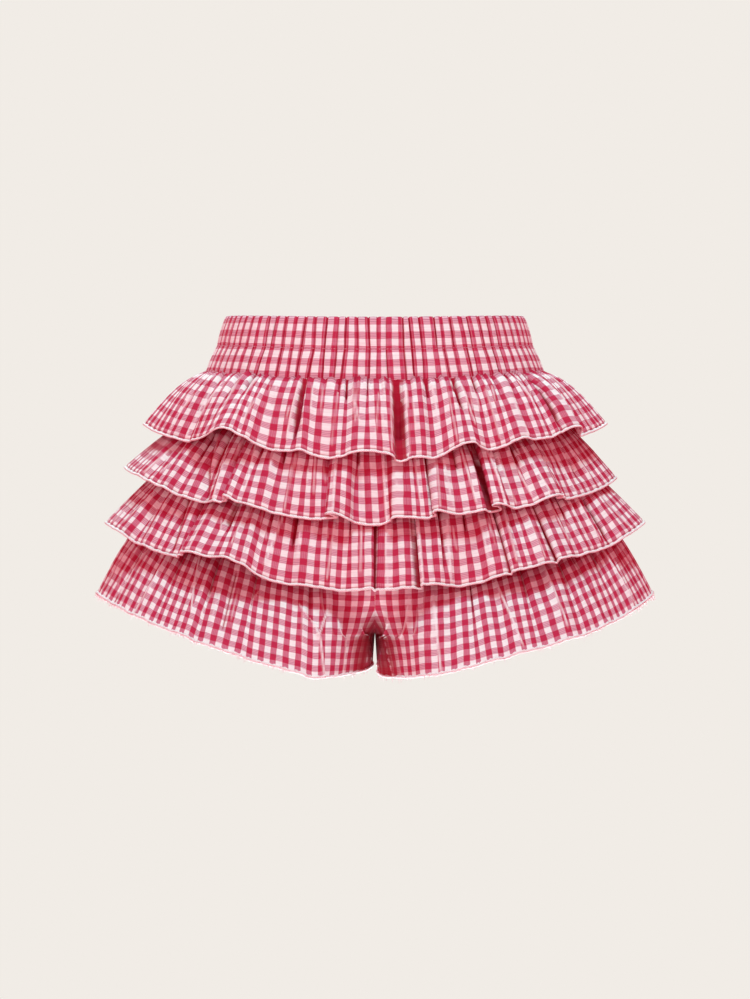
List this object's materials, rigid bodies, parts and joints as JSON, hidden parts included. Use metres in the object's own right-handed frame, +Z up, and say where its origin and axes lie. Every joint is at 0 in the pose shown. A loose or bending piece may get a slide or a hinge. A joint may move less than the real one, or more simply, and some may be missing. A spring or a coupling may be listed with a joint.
{
  "type": "tiered ruffle skort",
  "caption": "Short skort: elastic waistband, gathered ruffles over hip panels, and a flared, gathered leg tier with a crotch and short legs, filled out as worn.",
  "frame": {"origin": "centre of the waist opening, level with the waistband's top at the side seams", "axes": "+Z up, the front faces -Y, the wearer's left is +X"},
  "size_m": [0.44, 0.3568, 0.2771],
  "materials": {
    "gingham_poplin": "matt yarn-dyed cotton gingham in red and white",
    "gingham_waistband": "matt yarn-dyed cotton gingham gathered on elastic"
  },
  "bodies": {
    "root": {"waistband_front": "gingham_waistband", "waistband_back": "gingham_waistband", "hip_front_left": "gingham_poplin", "hip_front_right": "gingham_poplin", "hip_back_left": "gingham_poplin", "hip_back_right": "gingham_poplin", "ruffle_1_front": "gingham_poplin", "ruffle_1_back": "gingham_poplin", "ruffle_2_front": "gingham_poplin", "ruffle_2_back": "gingham_poplin", "ruffle_3_front_left": "gingham_poplin", "ruffle_3_front_right": "gingham_poplin", "ruffle_3_back_left": "gingham_poplin", "ruffle_3_back_right": "gingham_poplin", "leg_front_left": "gingham_poplin", "leg_front_right": "gingham_poplin", "leg_back_left": "gingham_poplin", "leg_back_right": "gingham_poplin"}
  },
  "joints": []
}
